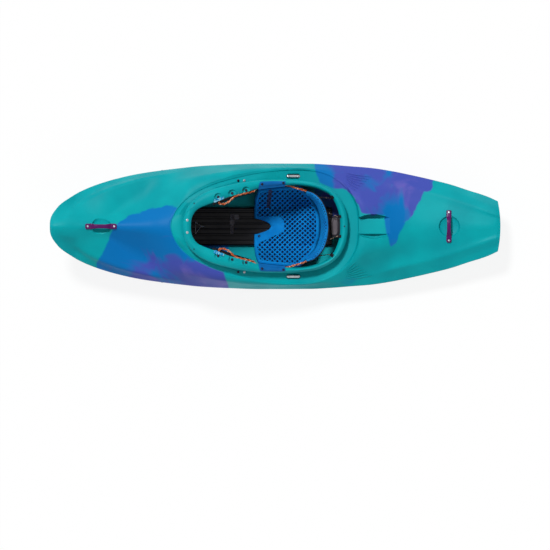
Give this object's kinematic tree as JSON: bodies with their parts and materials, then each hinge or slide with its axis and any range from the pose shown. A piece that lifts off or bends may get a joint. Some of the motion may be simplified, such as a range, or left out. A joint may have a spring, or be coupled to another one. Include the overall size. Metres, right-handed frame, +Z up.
{
  "type": "whitewater kayak",
  "caption": "Short river kayak with a flat hull, an open cockpit with moulded rim, seat, tilting backband, thigh braces, sliding footrests, grab handles and rescue bars.",
  "frame": {"origin": "middle of the boat's footprint, on the flat of the hull's bottom", "axes": "+X from bow to stern, +Y to starboard, +Z up"},
  "size_m": [2.3986, 0.666, 0.4539],
  "materials": {
    "hull_plastic": "rotationally moulded polyethylene, slightly glossy, teal with marbled blue and purple ends",
    "handle_plastic": "moulded nylon, satin",
    "screw_steel": "stainless, domed heads",
    "bar_steel": "stainless rod",
    "seat_plastic": "moulded, satin",
    "liner_foam": "perforated foam liner with a fabric face",
    "black_plastic": "moulded, matte",
    "black_foam": "closed-cell foam, matte",
    "cord": "braided, flecked",
    "tab_webbing": "flat webbing"
  },
  "bodies": {
    "boat": {"hull_shell": "hull_plastic", "bow_handle": "handle_plastic", "stern_handle": "handle_plastic", "bow_handle_screw_front": "screw_steel", "bow_handle_screw_rear": "screw_steel", "stern_handle_screw_right": "screw_steel", "stern_handle_screw_left": "screw_steel", "seat_front_bolt": "screw_steel", "seat_bolt_right_1": "screw_steel", "seat_bolt_right_2": "screw_steel", "seat_bolt_left_1": "screw_steel", "seat_bolt_left_2": "screw_steel", "thigh_bolt_right_1": "screw_steel", "thigh_bolt_right_2": "screw_steel", "thigh_bolt_right_3": "screw_steel", "thigh_bolt_left_1": "screw_steel", "thigh_bolt_left_2": "screw_steel", "thigh_bolt_left_3": "screw_steel", "lip_bolt_right_1": "screw_steel", "lip_bolt_right_2": "screw_steel", "lip_bolt_left_1": "screw_steel", "lip_bolt_left_2": "screw_steel", "rail_bolt_right_1": "screw_steel", "rail_bolt_right_2": "screw_steel", "rail_bolt_left_1": "screw_steel", "rail_bolt_left_2": "screw_steel", "front_rivet_right": "screw_steel", "front_rivet_left": "screw_steel", "rescue_bar_right": "bar_steel", "rescue_bar_left": "bar_steel", "seat_pan": "seat_plastic", "seat_pad": "liner_foam", "footrest_rail_right": "black_plastic", "footrest_rail_left": "black_plastic", "thigh_brace_right": "black_plastic", "thigh_brace_left": "black_plastic", "bungee_hook_right_side": "black_plastic", "bungee_hook_right_rear": "black_plastic", "bungee_hook_left_side": "black_plastic", "bungee_hook_left_rear": "black_plastic", "floor_panel": "black_foam", "front_pillar": "black_foam", "rear_pillar": "black_foam", "backband_cord_right": "cord", "backband_cord_left": "cord", "pull_tab_right": "tab_webbing", "pull_tab_left": "tab_webbing"},
    "backband": {"backband_shell": "black_plastic", "backband_pad": "liner_foam", "bungee_right_side": "cord", "bungee_right_rear": "cord", "bungee_left_side": "cord", "bungee_left_rear": "cord"},
    "footrest_right_body": {"footrest_plate_right": "black_plastic", "footrest_foam_right": "black_foam"},
    "footrest_left_body": {"footrest_plate_left": "black_plastic", "footrest_foam_left": "black_foam"}
  },
  "joints": [
    {"name": "backband_tilt", "type": "hinge", "parent": "boat", "child": "backband", "pos_m": [0.172, 0, 0.245], "axis": [0, 1, 0], "range_deg": [-8, 15], "deforming": ["bungee_right_side", "bungee_right_rear", "bungee_left_side", "bungee_left_rear"]},
    {"name": "footrest_slide_right", "type": "slide", "parent": "boat", "child": "footrest_right_body", "axis": [-0.9809, -0.1944, 0], "range_m": [-0.1, 0.05]},
    {"name": "footrest_slide_left", "type": "slide", "parent": "boat", "child": "footrest_left_body", "axis": [-0.9809, 0.1944, 0], "range_m": [-0.1, 0.05]}
  ]
}
